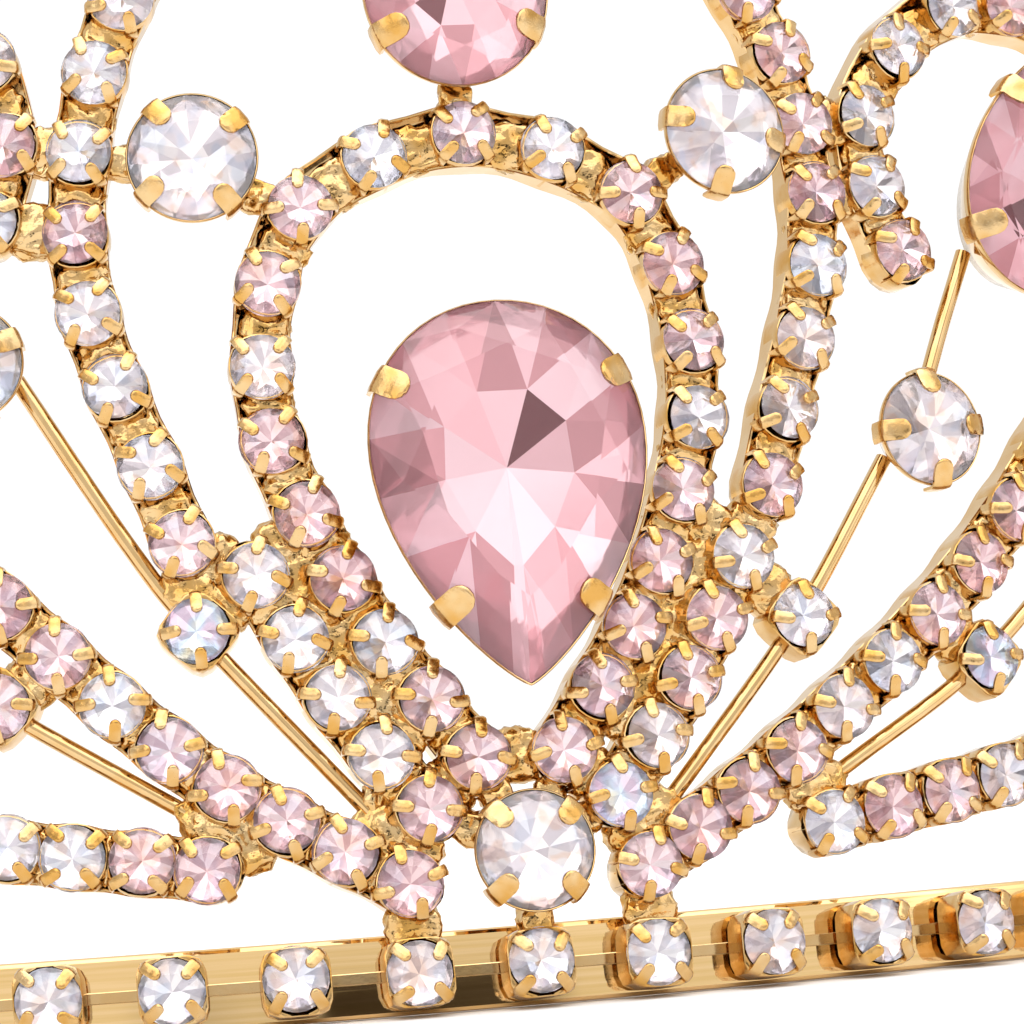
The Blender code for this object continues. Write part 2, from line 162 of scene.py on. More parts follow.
# Small cups, their claws, and the strip behind a row with its edges turned up
STONE_GIRDLE = 2.0 * MM
CUP_RIM = 1.88 * MM
CUP_FLOOR = 0.45 * MM
CUP_SIDES = 24
ROW_CUP_SQUARENESS = 2.2
LONE_CUP_SQUARENESS = 4.5
ROW_CUP_FOOT = 0.25 * MM
LONE_CUP_FOOT = -0.05 * MM
ROW_WALL_SHARE = 0.3
SMALL_CLAW_THICK = 0.25 * MM
SMALL_CLAW_DROP = 0.9 * MM
CHANNEL_HALF = 1.6 * MM
CHANNEL_END = 1.75 * MM
CHANNEL_HEIGHT = 1.62 * MM
CHANNEL_WALL = 0.17 * MM
CHANNEL_FLOOR = 0.5 * MM
CHANNEL_STEPS = 6
CHANNEL_WAIST = 0.14 * MM
CHANNEL_DIP = 0.42 * MM
CHANNEL_ROUNDING = (0.45, 0.75, 0.93, 1.0)
CHANNEL_TIP = 1.05 * CHANNEL_WALL
CHANNEL_EDGE = 0.3 * CHANNEL_WALL

# Solder: a web starts at WEB_HALF from a small stone's middle and reaches
# under what it joins. A gap is the widest that is soldered
WEB_HALF = 1.55 * MM
WEB_OVERLAP = 1.1 * MM
WEB_WIDTH = 2.6 * MM
WEB_HEIGHT = 1.3 * MM
WEB_DEPTH = 0.9 * MM
JUNCTION_WIDTH = 2.8 * MM
JUNCTION_GAP = 1.5 * MM
GEM_WEB_WIDTH = 1.7 * MM
GEM_WEB_GAP = 1.25 * MM
GEM_WEB_REACH = 0.3 * MM
GEM_EDGE_PLACES = 48
SOLDERED_GEMS = ("top_pear", "shoulder_round_right", "shoulder_round_left", "base_round")
WIRE_SOLDER = 1.1 * MM
WIRE_GAP = 2.2 * MM
WIRE_REACH = 0.5 * MM
WIRE_FOOT = 1.3 * MM
LUMP_CUTS = 9
LUMP_ROUNDNESS = 0.65
WRINKLE_SIZE = 0.5 * MM

# The narrow strip along the band's middle
STRIP_HALF = 0.28 * MM
STRIP_FRONT = 0.0
STRIP_BACK = -0.2 * MM
STRIP_EDGE = 0.04 * MM
STRIP_STEPS = 4

# Headband: its gap is behind the cups, its edge is rounded and its face is
# a little crowned. Its bends run from the middle of the front to one end
BAND_HEIGHT = 3.8 * MM
BAND_THICKNESS = 0.9 * MM
BAND_GAP = 0.3 * MM
BAND_EDGE = 0.22 * MM
BAND_CROWN = 0.05 * MM
Bend = namedtuple("Bend", "radius angle steps")
BAND_BENDS = (
    Bend(FACE_RADIUS - FACE_DEPTH - BAND_GAP, radians(39), 48),
    Bend(45 * MM, radians(48), 36),
    Bend(260 * MM, radians(10), 10),
    Bend(2.6 * MM, radians(290), 32),
)

# Camera: where it aims, how it is turned, and how far away it stands
CAMERA_AIM = Vector((-0.12, -51.08, 23.25)) * MM
CAMERA_AZIMUTH = radians(-13.18)
CAMERA_ELEVATION = radians(-3.0)
CAMERA_ROLL = radians(-4.08)
CAMERA_DISTANCE = 200 * MM
CAMERA_LENS = 149.77

# Studio
FLOOR_RADIUS = 6.0
FLOOR_DROP = 0.05 * MM
LIGHT_AIM = Vector((0.0, -0.03, 0.03))
Lamp = namedtuple("Lamp", "name place size power")
LAMPS = (
    Lamp("left_box", (-0.75, -0.75, 0.5), 0.75, 1.6),
    Lamp("right_box", (0.8, -0.6, 0.45), 0.7, 1.1),
    Lamp("top_box", (0.0, -0.1, 1.0), 0.9, 2.0),
)


# Places on the crest

def crest_axes(u):
    """Directions along the band, up the crest and outwards at u."""
    angle = u / FACE_RADIUS
    right = Vector((cos(angle), sin(angle), 0.0))
    up = Vector((sin(LEAN) * sin(angle), -sin(LEAN) * cos(angle), cos(LEAN)))
    out = Vector((cos(LEAN) * sin(angle), -cos(LEAN) * cos(angle), -sin(LEAN)))
    return right, up, out


def on_crest(u, v, depth):
    """The point at u, v and depth, all in metres."""
    angle = u / FACE_RADIUS
    radius = FACE_RADIUS + v * sin(LEAN)
    foot = Vector((radius * sin(angle), AXIS_Y - radius * cos(angle), v * cos(LEAN)))
    return foot + crest_axes(u)[2] * (depth - FACE_DEPTH)


def crest_place(point):
    """The u, v and depth of a point."""
    angle = atan2(point.x, AXIS_Y - point.y)
    radius = hypot(point.x, point.y - AXIS_Y) - FACE_RADIUS
    v = radius * sin(LEAN) + point.z * cos(LEAN)
    depth = radius * cos(LEAN) - point.z * sin(LEAN) + FACE_DEPTH
    return angle * FACE_RADIUS, v, depth


def crest_turn(u, angle):
    """Rotation that points Z out of the crest and X along an angle in it."""
    right, up, out = crest_axes(u)
    along = right * cos(angle) + up * sin(angle)
    return Matrix((along, out.cross(along), out)).transposed().to_euler()


def small_stones(row):
    """Centres (u, v) of a row's stones in the frame, from its first one on."""
    corners = set()
    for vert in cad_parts[row.name].data.vertices:
        u, v, depth = crest_place(vert.co)
        if depth > FACE_DEPTH - 0.1 * MM:
            corners.add((round(u, 5), round(v, 5)))
    groups = []
    for corner in sorted(corners):
        spot = Vector(corner)
        near = [g for g in groups if min((s - spot).length for s in g) < TABLE_LINK]
        groups = [g for g in groups if g not in near]
        groups.append([spot] + [s for g in near for s in g])
    centres = []
    for group in groups:
        low = Vector((min(s.x for s in group), min(s.y for s in group)))
        high = Vector((max(s.x for s in group), max(s.y for s in group)))
        centres.append((low + high) / 2)
    spot = Vector(row.start) * MM
    chain = []
    while centres:
        spot = min(centres, key=lambda centre: (centre - spot).length)
        centres.remove(spot)
        chain.append(spot)
    if len(chain) != len(row.colours):
        raise ValueError(f"{row.name} has {len(chain)} stones, not {len(row.colours)}")
    return chain


def turns(count):
    """Angles that part a circle evenly."""
    return [2 * pi * index / count for index in range(count)]


def direction(angle):
    """The direction at an angle."""
    return Vector((cos(angle), sin(angle)))


def row_angles(centres):
    """The row's direction at each centre, as an angle in the crest's face."""
    if len(centres) == 1:
        return [radians(45)]
    last = len(centres) - 1
    angles = []
    for index in range(len(centres)):
        step = centres[min(index + 1, last)] - centres[max(index - 1, 0)]
        angles.append(atan2(step.y, step.x))
    return angles


# Solder between rows, stones and wires

def web_between(one, two, width):
    """A lump of solder that fills the gap between two places."""
    middle, step = (one + two) / 2, two - one
    return Spot(middle.x, middle.y, WEB_DEPTH, atan2(step.y, step.x),
                (step.length + WEB_OVERLAP, width, min(width, WEB_HEIGHT)))


def web_of_pair(one, two, width):
    """Solder between the edges of two small stones."""
    reach = (two - one).normalized() * WEB_HALF
    return web_between(one + reach, two - reach, width)


def gem_edge(gem):
    """Places along a main stone's outline."""
    turn = Matrix.Rotation(radians(gem.turn), 2)
    centre = Vector((gem.u, gem.v)) * MM
    return [centre + turn @ outline_point(gem.width * MM, gem.length * MM, t).xy
            for t in turns(GEM_EDGE_PLACES)]


def wire_path(wire):
    """Places along a wire. It runs on into the solder at its foot, and up to
    the setting of a main stone that is near."""
    path = smooth_path([Vector((wire.side * u, v)) * MM for u, v in wire.places],
                       WIRE_STEPS)
    edges = [place for gem in GEMS for place in gem_edge(gem)]
    for end, before, reach in ((0, 1, WIRE_FOOT), (-1, -2, WIRE_REACH)):
        gap = min((place - path[end]).length for place in edges)
        if gap < WIRE_GAP / 2:
            reach = WIRE_REACH + gap
        spot = path[end] + (path[end] - path[before]).normalized() * reach
        path.insert(len(path) if end else 0, spot)
    return path


def junctions():
    """Solder wherever a row's stones come near to another row's, to a main
    stone or to a wire's end. Lists of spots by the row that carries them."""
    stones = [(row.name, number, centre) for row in ROWS
              for number, centre in enumerate(small_stones(row))]
    found = {row.name: [] for row in ROWS}
    for index, (name, number, one) in enumerate(stones):
        for other, place, two in stones[index + 1:]:
            apart = other != name or abs(place - number) > 1
            if apart and (two - one).length < 2 * WEB_HALF + JUNCTION_GAP:
                found[name].append(web_of_pair(one, two, JUNCTION_WIDTH))
        for gem in GEMS:
            near = min(gem_edge(gem), key=lambda place: (place - one).length)
            if gem.name in SOLDERED_GEMS and (near - one).length < WEB_HALF + GEM_WEB_GAP:
                way = (near - one).normalized()
                start, end = one + way * WEB_HALF, near + way * GEM_WEB_REACH
                found[name].append(web_between(start, end, GEM_WEB_WIDTH))
    for wire in WIRES:
        path = wire_path(wire)
        for end in (path[0], path[-1]):
            near = sorted(stones, key=lambda entry: (entry[2] - end).length)[:2]
            for _, _, centre in near:
                side = centre + (end - centre).normalized() * WEB_HALF
                if (side - end).length < WIRE_GAP:
                    found[near[0][0]].append(web_between(end, side, WIRE_SOLDER))
    return found


# Meshes and objects

def new_object(name, mesh):
    item = bpy.data.objects.new(name, mesh)
    bpy.context.scene.collection.objects.link(item)
    return item


def object_from(name, bm, material=None, smooth_angle=None):
    """Makes an object of a closed mesh, with its faces turned outwards."""
    bmesh.ops.recalc_face_normals(bm, faces=bm.faces)
    mesh = bpy.data.meshes.new(name)
    bm.to_mesh(mesh)
    bm.free()
    if material:
        mesh.materials.append(material)
    if smooth_angle:
        mesh.shade_smooth()
        mesh.set_sharp_from_angle(angle=radians(smooth_angle))
    return new_object(name, mesh)


def join_objects(name, items):
    """One object of several, under a name."""
    with bpy.context.temp_override(
        active_object=items[0],
        object=items[0],
        selected_objects=items,
        selected_editable_objects=items,
    ):
        bpy.ops.object.join()
    items[0].name = name
    items[0].data.name = name
    return items[0]


def bridge(bm, ring, other):
    """Joins two rings that have as many corners."""
    count = len(ring)
    for index in range(count):
        after = (index + 1) % count
        bm.faces.new((ring[index], ring[after], other[after], other[index]))


def lofted(name, rings, material=None, smooth_angle=None):
    """An object with a closed body through rings of points."""
    bm = bmesh.new()
    made = [[bm.verts.new(point) for point in ring] for ring in rings]
    for one, two in zip(made, made[1:]):
        bridge(bm, one, two)
    bm.faces.new(made[0])
    bm.faces.new(made[-1])
    return object_from(name, bm, material, smooth_angle)


def discard(*items):
    for item in items:
        bpy.data.objects.remove(item, do_unlink=True)


def finish_piece(item, slot, *nodes):
    """Hands a piece to the frame."""
    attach(item, "root")
    if nodes:
        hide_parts(*nodes)


# Geometry node trees

def fill(tree, node, inputs):
    """Gives a node its inputs: each a value, or a socket to link from."""
    for key, value in inputs.items():
        if isinstance(value, bpy.types.NodeSocket):
            tree.links.new(value, node.inputs[key])
        else:
            node.inputs[key].default_value = value


def add_node(tree, kind, inputs=None, **settings):
    node = tree.nodes.new(kind)
    for key, value in settings.items():
        setattr(node, key, value)
    fill(tree, node, inputs or {})
    return node


def enabled(sockets):
    """The sockets that a node shows for its data type."""
    return [socket for socket in sockets if socket.enabled]


def new_tree(name, inputs):
    """A tree with a geometry input and the named ones, and its sockets."""
    tree = bpy.data.node_groups.new(name, "GeometryNodeTree")
    face = tree.interface
    face.new_socket("Geometry", in_out="INPUT", socket_type="NodeSocketGeometry")
    for label, kind, default in inputs:
        socket = face.new_socket(label, in_out="INPUT", socket_type="NodeSocket" + kind)
        if default is not None:
            socket.default_value = default
    face.new_socket("Geometry", in_out="OUTPUT", socket_type="NodeSocketGeometry")
    return tree, add_node(tree, "NodeGroupInput").outputs


def made_real(tree, geometry):
    node = add_node(tree, "GeometryNodeRealizeInstances", {"Geometry": geometry})
    return node.outputs["Geometry"]


def painted(tree, geometry, material, where=True):
    """Geometry with a material on it, or on some of its faces."""
    node = add_node(tree, "GeometryNodeSetMaterial", {
        "Geometry": geometry, "Selection": where, "Material": material})
    return node.outputs["Geometry"]


def end_tree(tree, geometry):
    add_node(tree, "NodeGroupOutput", {"Geometry": geometry})
    return tree


def maths(tree, operation, one, two):
    node = add_node(tree, "ShaderNodeMath", {0: one, 1: two}, operation=operation)
    return node.outputs[0]


def named_attribute(tree, name, kind):
    node = add_node(tree, "GeometryNodeInputNamedAttribute", {"Name": name}, data_type=kind)
    return enabled(node.outputs)[0]


def random_value(tree, seed, kind="FLOAT", limits=()):
    """A random value for each place: from 0 to 1, or between two sockets."""
    node = add_node(tree, "FunctionNodeRandomValue", data_type=kind)
    for limit, socket in zip(limits, enabled(node.inputs)):
        tree.links.new(limit, socket)
    tree.links.new(seed, node.inputs["Seed"])
    return enabled(node.outputs)[0]


def copies_on_places(tree, source):
    """Nodes that put copies of an object on places, each a little turned."""
    copy = add_node(tree, "GeometryNodeObjectInfo", {"Object": source["Copy"]})
    placed = add_node(tree, "GeometryNodeInstanceOnPoints", {
        "Points": source["Geometry"],
        "Instance": copy.outputs["Geometry"],
        "Rotation": named_attribute(tree, "facing", "FLOAT_VECTOR"),
        "Scale": named_attribute(tree, "stretch", "FLOAT_VECTOR"),
    })
    tilt, turn = source["Tilt spread"], source["Turn spread"]
    high = add_node(tree, "ShaderNodeCombineXYZ", {"X": tilt, "Y": tilt, "Z": turn}).outputs[0]
    low = add_node(tree, "ShaderNodeVectorMath", {0: high, 1: (-1, -1, -1)},
                   operation="MULTIPLY").outputs[0]
    spin = random_value(tree, source["Seed"], "FLOAT_VECTOR", (low, high))
    turned = add_node(tree, "GeometryNodeRotateInstances", {
        "Instances": placed.outputs["Instances"], "Rotation": spin})
    return turned.outputs["Instances"]


PLACE_INPUTS = (
    ("Copy", "Object", None),
    ("Tilt spread", "Float", 0.0),
    ("Turn spread", "Float", 0.0),
    ("Seed", "Int", 1),
    ("Finish", "Material", None),
)


def metal_tree():
    """Copies of one metal part on places."""
    tree, source = new_tree("Metal parts on places", PLACE_INPUTS)
    copies = made_real(tree, copies_on_places(tree, source))
    return end_tree(tree, painted(tree, copies, source["Finish"]))


def solder_tree():
    """Copies of a lump of solder on places, wrinkled by noise."""
    tree, source = new_tree("Solder on places", PLACE_INPUTS + (
        ("Wrinkle size", "Float", WRINKLE_SIZE),
        ("Wrinkle depth", "Float", 0.2 * MM),
    ))
    copies = made_real(tree, copies_on_places(tree, source))
    pattern = add_node(tree, "ShaderNodeTexNoise", {
        "Vector": add_node(tree, "GeometryNodeInputPosition").outputs[0],
        "Scale": maths(tree, "DIVIDE", 1.0, source["Wrinkle size"]),
        "Detail": 1.0,
    })
    centred = maths(tree, "SUBTRACT", pattern.outputs["Fac"], 0.5)
    height = maths(tree, "MULTIPLY", centred, source["Wrinkle depth"])
    offset = add_node(tree, "ShaderNodeVectorMath", {
        0: add_node(tree, "GeometryNodeInputNormal").outputs[0],
        "Scale": maths(tree, "MULTIPLY", height, 2.0),
    }, operation="SCALE")
    moved = add_node(tree, "GeometryNodeSetPosition", {
        "Geometry": copies, "Offset": offset.outputs[0]})
    return end_tree(tree, painted(tree, moved.outputs["Geometry"], source["Finish"]))


def stone_tree():
    """Copies of a cut stone on places: glass in front, foil at the back,
    and a tone of its own for each stone."""
    tree, source = new_tree("Stones on places", PLACE_INPUTS + (("Foil", "Material", None),))
    toned = add_node(tree, "GeometryNodeStoreNamedAttribute", {
        "Geometry": copies_on_places(tree, source), "Name": "tone",
        "Value": random_value(tree, source["Seed"])},
        data_type="FLOAT", domain="INSTANCE")
    stones = made_real(tree, toned.outputs["Geometry"])
    stones = painted(tree, stones, source["Finish"])
    back = named_attribute(tree, "back", "BOOLEAN")
    return end_tree(tree, painted(tree, stones, source["Foil"], back))


def wire_tree():
    """A round wire along a path."""
    tree, source = new_tree("Wire along a path", (
        ("Radius", "Float", WIRE_RADIUS),
        ("Sides", "Int", WIRE_SIDES),
        ("Finish", "Material", None),
    ))
    path = add_node(tree, "GeometryNodeMeshToCurve", {"Mesh": source["Geometry"]})
    profile = add_node(tree, "GeometryNodeCurvePrimitiveCircle", {
        "Resolution": source["Sides"], "Radius": source["Radius"]})
    swept = add_node(tree, "GeometryNodeCurveToMesh", {
        "Curve": path.outputs["Curve"],
        "Profile Curve": profile.outputs["Curve"],
        "Fill Caps": True,
    })
    smooth = add_node(tree, "GeometryNodeSetShadeSmooth", {"Geometry": swept.outputs["Mesh"]})
    wire = made_real(tree, smooth.outputs["Geometry"])
    return end_tree(tree, painted(tree, wire, source["Finish"]))


FINISHES = {}
TREE_MAKERS = {"metal": metal_tree, "solder": solder_tree, "stones": stone_tree,
               "wire": wire_tree}
TREES = {}


def tree_named(name):
    if name not in TREES:
        TREES[name] = TREE_MAKERS[name]()
    return TREES[name]


def run_tree(kind, name, mesh, values):
    """Evaluates a tree on a mesh, and keeps the result as a plain mesh."""
    tree = tree_named(kind)
    base = new_object(name, mesh)
    nodes = base.modifiers.new("Nodes", "NODES")
    nodes.node_group = tree
    for socket in tree.interface.items_tree:
        if socket.in_out == "INPUT" and socket.name in values:
            nodes[socket.identifier] = values[socket.name]
    bpy.context.view_layer.update()
    graph = bpy.context.evaluated_depsgraph_get()
    mesh = bpy.data.meshes.new_from_object(base.evaluated_get(graph), depsgraph=graph)
    discard(base)
    mesh.name = name
    return new_object(name, mesh)


Spot = namedtuple("Spot", "u v depth angle stretch", defaults=((1.0, 1.0, 1.0),))


def place_copies(kind, name, spots, values):
    """Puts copies on spots of the crest by a tree."""
    mesh = bpy.data.meshes.new(name)
    mesh.from_pydata([on_crest(s.u, s.v, s.depth) for s in spots], [], [])
    facing = mesh.attributes.new("facing", "FLOAT_VECTOR", "POINT")
    stretch = mesh.attributes.new("stretch", "FLOAT_VECTOR", "POINT")
    for index, spot in enumerate(spots):
        facing.data[index].vector = crest_turn(spot.u, spot.angle)
        stretch.data[index].vector = spot.stretch
    return run_tree(kind, name, mesh, values)


# Cut stones

def outline_point(width, length, t, margin=0.0):
    """A place on a stone's outline: round, or a pear whose round part is
    centred and whose tip points to +Y at t = 0."""
    wide, high = width + 2 * margin, length + 2 * margin
    taper = PEAR_TAPER if length > width else 0.0
    widest = 2 * (1 + taper) / (2 + taper) - 1
    peak = (1 - widest * widest) ** 0.5 * ((1 + widest) / 2) ** (taper / 2)
    across = sin(t) * abs(sin(t / 2)) ** taper / peak * wide / 2
    return Vector((across, (cos(t) + widest) * high / 2, 0.0))


def outline_side(width, length, t):
    """Direction along the outline."""
    step = outline_point(width, length, t + 0.01) - outline_point(width, length, t - 0.01)
    return step.normalized()


def plane_through(point, along, other):
    normal = along.cross(other - point).normalized()
    return normal, normal.dot(point)


def planes_meet(one, two, height):
    """The point at a height where two planes meet."""
    rows = Matrix((one[0], two[0], Vector((0.0, 0.0, 1.0))))
    return rows.inverted() @ Vector((one[1], two[1], height))


def height_on(plane, point):
    normal, offset = plane
    return (offset - normal.x * point.x - normal.y * point.y) / normal.z


def half_of_stone(bm, rim, tones, width, length, cut, level, tip_height, share, mid_share):
    """Facets from the girdle to the table or to the culet. The rim's points
    are moved to where the facets meet the outline. Returns the inner ring."""
    # Each facet gets a level of painted light or shade for the foil behind it
    facet = bm.faces.layers.float["facet"]
    count, mains = len(rim), cut.mains
    stride = count // mains
    inner = []
    planes = []
    for k in range(mains):
        t = turns(count)[k * stride]
        edge = outline_point(width, length, t) + Vector((0, 0, level))
        middle = Vector((0.0, 0.0 if share else cut.culet * width, tip_height))
        target = outline_point(width, length, t) * share + middle
        inner.append(target)
        planes.append(plane_through(edge, outline_side(width, length, t), target))
    middle_height = level + (tip_height - level) * mid_share
    middles = []
    for k in range(mains):
        middles.append(planes_meet(planes[k], planes[(k + 1) % mains], middle_height))
    if share:
        inner = [bm.verts.new(point) for point in inner]
    else:
        inner = [bm.verts.new(inner[0])] * mains
    middle_verts = [bm.verts.new(point) for point in middles]
    floor = level - (tip_height - level) / abs(tip_height - level) * cut.girdle * GIRDLE_SHARE
    for k in range(mains):
        after = (k + 1) % mains
        half = stride // 2
        start = k * stride
        for place, first in enumerate((start, start + half)):
            ends = (rim[first], rim[(first + half) % count])
            chord = ends[1].co - ends[0].co
            plane = plane_through(ends[0].co, chord, middles[k])
            between = [rim[(first + step) % count] for step in range(1, half)]
            for vert in between:
                height = height_on(plane, vert.co)
                vert.co.z = max(height, floor) if tip_height > level else min(height, floor)
            short = bm.faces.new((middle_verts[k], ends[0], *between, ends[1]))
            short[facet] = tones[1][(2 * k + place) % mains]
        if share:
            bm.faces.new((inner[k], inner[after], middle_verts[k]))
        long = bm.faces.new((inner[k], middle_verts[k - 1], middle_verts[k]))
        long[facet] = tones[0][k]
        outer = bm.faces.new((middle_verts[k - 1], rim[start], middle_verts[k]))
        outer[facet] = tones[1][k]
    return inner


def cut_stone(name, width, length, cut, tones, girdle):
    """A brilliant with a table, its girdle at a height. The facets behind the girdle carry the
    attribute "back", and each has in "facet" its level of painted light or shade, which the foil
    shows behind it."""
    bm = bmesh.new()
    layer = bm.faces.layers.bool.new("back")
    bm.faces.layers.float.new("facet")
    count = cut.mains * 2 * cut.steps
    top, low = [], []
    for t in turns(count):
        point = outline_point(width, length, t)
        top.append(bm.verts.new(point + Vector((0, 0, girdle))))
        low.append(bm.verts.new(point + Vector((0, 0, girdle - cut.girdle))))
    table_height = girdle + cut.crown * width
    culet_height = girdle - cut.pavilion * width
    table = half_of_stone(bm, top, tones, width, length, cut, girdle, table_height,
                          cut.table, cut.star)
    bm.faces.new(table)
    front = set(bm.faces)
    half_of_stone(bm, low, tones, width, length, cut, girdle - cut.girdle, culet_height,
                  0.0, cut.low_half)
    back = set(bm.faces) - front
    bridge(bm, top, low)
    for face in back:
        face[layer] = True
    return object_from(name, bm)


# Metal parts

def rounded_section(half_width, half_thick):
    """Eight corners of a rounded bar, as (across, up)."""
    near, far = 0.55, 1.0
    corners = ((far, -near), (far, near), (near, far), (-near, far),
               (-far, near), (-far, -near), (-near, -far), (near, -far))
    return [(a * half_width, b * half_thick) for a, b in corners]


# Steps along a claw's round tip, and its width there, as shares of the half
CLAW_TIP = ((0.0, 1.0), (0.45, 0.9), (0.8, 0.62), (0.97, 0.3))


def make_prong(name, width, thick, path):
    """A claw along (outwards, depth) places from the stone's edge, with a
    round tip that is thinner than the rest."""
    points = [Vector((out, 0.0, depth)) for out, depth in path]
    last = points[-1] - points[-2]
    reach = last.length
    last.normalize()
    stations = [(point, 1.0) for point in points[:-1]]
    half = width / 2
    start = points[-2] + last * max(reach - half, 0.0)
    stations += [(start + last * half * step, share) for step, share in CLAW_TIP]
    rings = []
    for index, (point, share) in enumerate(stations):
        before = stations[max(index - 1, 0)][0]
        after = stations[min(index + 1, len(stations) - 1)][0]
        along = (after - before).normalized()
        up = Vector((-along.z, 0.0, along.x))
        flat = 0.55 + 0.45 * share
        ring = []
        for across, lift in rounded_section(half * share, thick / 2 * flat):
            ring.append(point + Vector((0.0, across, 0.0)) + up * lift)
        rings.append(ring)
    return lofted(name, rings, smooth_angle=60)


def prong_path(girdle, slope, edge, reach, thick, drop):
    """Places of a claw that stands at the edge and bends in over a crown of
    that slope, in shares of its thickness, reach and drop."""
    return (
        (edge, girdle - drop),
        (edge + 0.04 * thick, girdle - drop * 0.4),
        (edge, girdle + 0.05 * thick),
        (edge - 0.35 * thick, girdle + slope * 0.4 * thick + 0.55 * thick),
        (-0.25 * reach, girdle + slope * 0.25 * reach + 0.62 * thick),
        (-0.6 * reach, girdle + slope * 0.6 * reach + 0.66 * thick),
        (-reach, girdle + slope * reach + 0.62 * thick),
    )


def make_cup(name, stone_width, wall, squareness, foot):
    """A square cup with round corners and a round seat."""
    inner = stone_width / 2
    outer = inner + wall
    outside = ((0.9, foot), (1.0, foot + 0.2 * MM), (1.0, CUP_RIM - 0.12 * MM),
               (0.985, CUP_RIM - 0.03 * MM), (0.95, CUP_RIM))
    inside = ((inner, CUP_RIM - 0.02 * MM), (inner, STONE_GIRDLE - 0.3 * MM),
              (inner * 0.4, CUP_FLOOR))
    rings = []
    for share, depth in outside:
        ring = []
        for t in turns(CUP_SIDES):
            size = abs(cos(t)) ** squareness + abs(sin(t)) ** squareness
            radius = outer * share * size ** (-1 / squareness)
            ring.append(Vector((radius * cos(t), radius * sin(t), depth)))
        rings.append(ring)
    for radius, depth in inside:
        rings.append([Vector((radius * cos(t), radius * sin(t), depth))
                      for t in turns(CUP_SIDES)])
    return lofted(name, rings, smooth_angle=35)


def make_lump(name):
    """A soft block of unit size for solder, with rows of faces to wrinkle."""
    bm = bmesh.new()
    bmesh.ops.create_cube(bm, size=1.0)
    bmesh.ops.subdivide_edges(bm, edges=bm.edges, cuts=LUMP_CUTS, use_grid_fill=True)
    for vert in bm.verts:
        ball = vert.co.normalized() * 0.5
        vert.co = vert.co.lerp(ball, LUMP_ROUNDNESS)
    return object_from(name, bm, smooth_angle=80)


def make_channel(name, centres, material):
    """The strip behind a row of cups, with its edges turned up round them."""
    path = smooth_path(centres, CHANNEL_STEPS)
    angles = row_angles(path)
    stations = []
    for number, (spot, angle) in enumerate(zip(path, angles)):
        between = (1 - cos(2 * pi * number / CHANNEL_STEPS)) / 2
        stations.append((spot, angle, CHANNEL_HALF - CHANNEL_WAIST * between, between))
    for index, way in ((0, -1), (-1, 1)):
        spot, angle = path[index], angles[index]
        along = direction(angle) * way * CHANNEL_END
        for share in CHANNEL_ROUNDING:
            half = max(CHANNEL_HALF * (1 - share ** 2) ** 0.5, CHANNEL_TIP)
            stations.insert(len(stations) if index else 0,
                            (spot + along * share, angle, half, 0.0))
    edge, wall = CHANNEL_EDGE, CHANNEL_WALL
    top, floor = CHANNEL_HEIGHT, CHANNEL_FLOOR
    profile = ((edge, 0.0), (0.0, edge), (0.0, top - edge), (edge, top),
               (wall - edge, top), (wall, top - edge), (wall, floor))
    rings = []
    for spot, angle, half, between in stations:
        across = Vector((-sin(angle), cos(angle)))
        sides = [(half - inset, depth - CHANNEL_DIP * between * (depth > floor))
                 for inset, depth in profile]
        sides += [(-side, depth) for side, depth in reversed(sides)]
        ring = []
        for side, depth in sides:
            place = spot + across * side
            ring.append(on_crest(place.x, place.y, depth))
        rings.append(ring)
    return lofted(name, rings, material, smooth_angle=40)


def make_strip(name, centres, material):
    """A narrow strip along the band, behind its cups."""
    flat = STRIP_HALF - STRIP_EDGE
    low = STRIP_FRONT - STRIP_EDGE
    section = ((-STRIP_HALF, STRIP_BACK), (STRIP_HALF, STRIP_BACK), (STRIP_HALF, low),
               (flat, STRIP_FRONT), (-flat, STRIP_FRONT), (-STRIP_HALF, low))
    rings = [[on_crest(spot.x, spot.y + up, depth) for up, depth in section]
             for spot in smooth_path(centres, STRIP_STEPS)]
    return lofted(name, rings, material, smooth_angle=30)


def smooth_path(places, steps):
    """Places along a smooth curve through others."""
    path = []
    last = len(places) - 1
    for index in range(last):
        one, two = places[index], places[index + 1]
        before = places[index - 1] if index else one * 2 - two
        after = places[index + 2] if index + 2 <= last else two * 2 - one
        for step in range(steps):
            t = step / steps
            start, end = (two - before) / 2, (after - one) / 2
            path.append(one * ((1 + 2 * t) * (1 - t) ** 2) + start * (t * (1 - t) ** 2)
                        + two * (t * t * (3 - 2 * t)) + end * (t * t * (t - 1)))
    path.append(places[last])
    return path


# Materials

def new_material(name):
    """A material, its node tree and its Principled shader."""
    material = bpy.data.materials.new(name)
    material.use_nodes = True
    return material, material.node_tree, material.node_tree.nodes["Principled BSDF"]


def noise(tree, scale, detail=2.0, stretch=(1, 1, 1)):
    """Noise on Object coordinates, from 0 to 1."""
    coordinates = add_node(tree, "ShaderNodeTexCoord")
    mapping = add_node(tree, "ShaderNodeMapping", {
        "Vector": coordinates.outputs["Object"], "Scale": stretch})
    node = add_node(tree, "ShaderNodeTexNoise", {
        "Vector": mapping.outputs[0], "Scale": scale, "Detail": detail})
    return node.outputs["Fac"]


def spread(tree, value, start, end, low=0.0, high=1.0):
    """A value's range from start to end, spread from low to high."""
    node = add_node(tree, "ShaderNodeMapRange", {
        "Value": value, "From Min": start, "From Max": end, "To Min": low, "To Max": high})
    return node.outputs[0]


